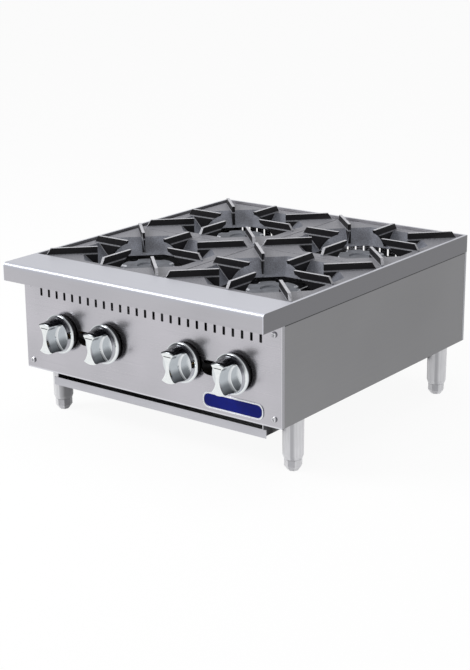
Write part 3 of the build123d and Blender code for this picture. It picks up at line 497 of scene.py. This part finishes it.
# Knob caps: drawn out to the photo's length and a little wider at the front
knob = {"skirt": -0.3352, "front": -0.3675, "widen": 1.05, "frontShare": 0.75}
for number in range(1, 5):
    name = "knob_cap_" + str(number)
    low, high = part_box(name)
    axis = (low + high) / 2
    cap = copied(name, "knob_grip_" + str(number))
    pickVertices(cap, lambda place: place.y < knob["skirt"])
    stretch = (knob["front"] - knob["skirt"]) / (low.y - knob["skirt"])
    bpy.ops.transform.resize(value=(1, stretch, 1), center_override=(axis.x, knob["skirt"], axis.z))
    bpy.ops.object.mode_set(mode="OBJECT")
    foremost = knob["skirt"] + (knob["front"] - knob["skirt"]) * knob["frontShare"]
    pickVertices(cap, lambda place: place.y < foremost)
    bpy.ops.transform.resize(value=(knob["widen"], 1, knob["widen"]),
                             center_override=(axis.x, knob["front"], axis.z))
    bpy.ops.object.mode_set(mode="OBJECT")
    smooth(cap)
    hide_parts(name)
    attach(cap, "knob_" + str(number))
print("knob caps done")

# Crumb tray: its front wall is cut down to a low strip, so a dark gap shows under the panel
tray = {"cutFrom": -0.32, "cutTo": -0.2926, "stripTop": 0.0852, "cutTop": 0.12, "cutWidth": 0.6}
pan = copied("crumb_tray", "crumb_pan")
deselect()
bpy.ops.mesh.primitive_cube_add(size=1, location=(0, (tray["cutFrom"] + tray["cutTo"]) / 2,
                                                  (tray["stripTop"] + tray["cutTop"]) / 2),
                                scale=(tray["cutWidth"], tray["cutTo"] - tray["cutFrom"],
                                       tray["cutTop"] - tray["stripTop"]))
cutter = bpy.context.object
applyPlace(cutter)
applyModifier(pan, "BOOLEAN", operation="DIFFERENCE", object=cutter, solver="EXACT")
bpy.data.objects.remove(cutter)
smooth(pan)
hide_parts("crumb_tray")
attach(pan, "crumb_tray")
print("crumb tray done")

# Front panel: its vent slots opened to the width they have in the photo
vents = {"first": -0.26, "pitch": 0.02, "count": 27, "height": 0.26, "reach": 0.0085, "half": 0.004,
         "widen": 1.27, "raise": 1.04}
face = copied("front_panel", "vented_panel")
for number in range(vents["count"]):
    at = vents["first"] + number * vents["pitch"]
    pickVertices(face, lambda place: abs(place.x - at) < vents["half"] and
                 abs(place.z - vents["height"]) < vents["reach"])
    bpy.ops.transform.resize(value=(vents["widen"], 1, vents["raise"]),
                             center_override=(at, 0, vents["height"]))
    bpy.ops.object.mode_set(mode="OBJECT")
smooth(face)
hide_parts("front_panel")
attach(face, "frame")
print("front panel done")

# Knob marks: a printed dash near the top of each grip
knobMark = {"length": 0.0165, "width": 0.0014, "rise": 0.0005, "above": 0.0205, "corner": 0.0006}
for number in range(1, 5):
    low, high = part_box("knob_cap_" + str(number))
    middle = (low + high) / 2
    mark = roundedPlate("knob_mark_" + str(number), (middle.x, knob["front"], middle.z + knobMark["above"]),
                        (knobMark["length"], knobMark["rise"], knobMark["width"]), knobMark["corner"], 3)
    mark.data.materials.append(knobInk)
    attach(mark, "knob_" + str(number))
print("knob marks done")

# Badge: a blank blue enamel field inside the plate's raised border
badge = {"border": 0.0030, "recess": 0.0005, "corner": 0.0103, "crown": 0.0002}
low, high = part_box("badge_plate")
middle = (low + high) / 2
field = roundedPlate("badge_field", (middle.x, low.y + badge["recess"], middle.z),
                     (high.x - low.x - 2 * badge["border"], 2 * badge["crown"],
                      high.z - low.z - 2 * badge["border"]), badge["corner"], 8)
field.data.materials.append(badgeBlue)
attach(field, "frame")
print("badge done")

# Panel screws: domed heads with a cross recess
screw = {"radius": 0.0056, "rise": 0.0034, "dome": 0.0028, "shank": 0.002, "shankLength": 0.013,
         "recess": 0.0062, "recessWidth": 0.0015, "recessDepth": 0.0015, "panelFront": -0.315,
         "panelBack": 0.331, "x": 0.289, "heights": (0.118, 0.272)}


def crossScrew():
    deselect()
    bpy.ops.mesh.primitive_cylinder_add(vertices=32, radius=screw["radius"], depth=screw["rise"],
                                        location=(0, -screw["rise"] / 2, 0), rotation=(math.pi / 2, 0, 0))
    head = bpy.context.object
    applyPlace(head)
    bevelEdges(head, lambda a, b: a.y < -screw["rise"] / 2 and b.y < -screw["rise"] / 2, screw["dome"], 6)
    for size in ((screw["recess"], screw["recessWidth"]), (screw["recessWidth"], screw["recess"])):
        deselect()
        bpy.ops.mesh.primitive_cube_add(size=1, location=(0, -screw["rise"], 0),
                                        scale=(size[0], 2 * screw["recessDepth"], size[1]))
        cutter = bpy.context.object
        applyPlace(cutter)
        applyModifier(head, "BOOLEAN", operation="DIFFERENCE", object=cutter, solver="EXACT")
        bpy.data.objects.remove(cutter)
    deselect()
    bpy.ops.mesh.primitive_cylinder_add(vertices=20, radius=screw["shank"], depth=screw["shankLength"],
                                        location=(0, screw["shankLength"] / 2, 0),
                                        rotation=(math.pi / 2, 0, 0))
    shank = bpy.context.object
    applyPlace(shank)
    head.select_set(True)
    bpy.context.view_layer.objects.active = head
    bpy.ops.object.join()
    smooth(head, 35)
    return head


model = crossScrew()
screws = []
for y, turn in ((screw["panelFront"], 0), (screw["panelBack"], math.pi)):
    for x in (-screw["x"], screw["x"]):
        for z in screw["heights"]:
            piece = model.copy()
            piece.data = model.data.copy()
            scene.collection.objects.link(piece)
            piece.location = (x, y, z)
            piece.rotation_euler = (0, 0, turn)
            applyPlace(piece)
            screws.append(piece)
bpy.data.objects.remove(model)
deselect()
for piece in screws:
    piece.select_set(True)
bpy.context.view_layer.objects.active = screws[0]
bpy.ops.object.join()
screws[0].name = "cross_screws"
screws[0].data.materials.clear()
screws[0].data.materials.append(screwSteel)
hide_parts("panel_screws")
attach(screws[0], "frame")
print("screws done")

# Soft edges on the CAD nodes: welded, then bevelled by a width and segments, with live modifiers
softEdges = {
    "grate_front": (0.0011, 2), "grate_back": (0.0011, 2), "burner_head": (0.0005, 2),
    "top_frame": (0.0004, 2), "side_panel": (0.0004, 2),
}
softAngle = math.radians(32)
for name, node in nodes.items():
    for stem, (width, segments) in softEdges.items():
        if name.startswith(stem):
            weld = node.modifiers.new("weld", "WELD")
            weld.merge_threshold = weldGap
            bevel = node.modifiers.new("bevel", "BEVEL")
            bevel.width = width
            bevel.segments = segments
            bevel.limit_method = "ANGLE"
            bevel.angle_limit = softAngle
            bevel.harden_normals = True
print("edges softened")

# Floor, light and background
studio = {
    "floorSize": 60.0, "floorColor": "#F7F7F7", "floorGlow": 0.93, "worldLight": 0.5,
    "key": {"at": (-1.9, -2.2, 2.5), "size": 1.4, "power": 82.0},
    "top": {"at": (0.0, 0.3, 2.4), "size": 1.2, "power": 14.0},
    "aim": (0.0, 0.0, 0.2),
}


# 1 for camera, glossy and transmitted rays, which see the white background
def seenRays(tree):
    path = add(tree, "ShaderNodeLightPath")
    shiny = add(tree, "ShaderNodeMath", {0: (path, "Is Camera Ray"), 1: (path, "Is Glossy Ray")},
                operation="MAXIMUM")
    return add(tree, "ShaderNodeMath", {0: (shiny, "Value"), 1: (path, "Is Transmission Ray")},
               operation="MAXIMUM")


deselect()
bpy.ops.mesh.primitive_plane_add(size=studio["floorSize"], location=(0, 0, 0))
floor = bpy.context.object
floor.name = "floor"
material, tree = emptyMaterial("floor_white")
matt = add(tree, "ShaderNodeBsdfDiffuse", {"Color": linear(studio["floorColor"])})
glow = add(tree, "ShaderNodeEmission", {"Color": (1, 1, 1, 1), "Strength": 1.0})
share = add(tree, "ShaderNodeMath", {0: (seenRays(tree), "Value"), 1: studio["floorGlow"]},
            operation="MULTIPLY")
mixed = add(tree, "ShaderNodeMixShader", {0: (share, "Value"), 1: (matt, "BSDF"), 2: (glow, "Emission")})
add(tree, "ShaderNodeOutputMaterial", {"Surface": (mixed, "Shader")})
floor.data.materials.append(material)

world = bpy.data.worlds.new("studio")
scene.world = world
world.use_nodes = True
tree = world.node_tree
tree.nodes.clear()
strength = add(tree, "ShaderNodeMapRange", {"Value": (seenRays(tree), "Value"),
                                            "To Min": studio["worldLight"], "To Max": 1.0})
background = add(tree, "ShaderNodeBackground", {"Color": (1, 1, 1, 1), "Strength": (strength, "Result")})
add(tree, "ShaderNodeOutputWorld", {"Surface": (background, "Background")})

for name in ("key", "top"):
    lamp = studio[name]
    data = bpy.data.lights.new(name + "_lamp", "AREA")
    data.size = lamp["size"]
    data.energy = lamp["power"]
    light = bpy.data.objects.new(name + "_lamp", data)
    scene.collection.objects.link(light)
    light.location = lamp["at"]
    aim = Vector(studio["aim"]) - Vector(lamp["at"])
    light.rotation_euler = aim.to_track_quat("-Z", "Y").to_euler()
print("studio done")
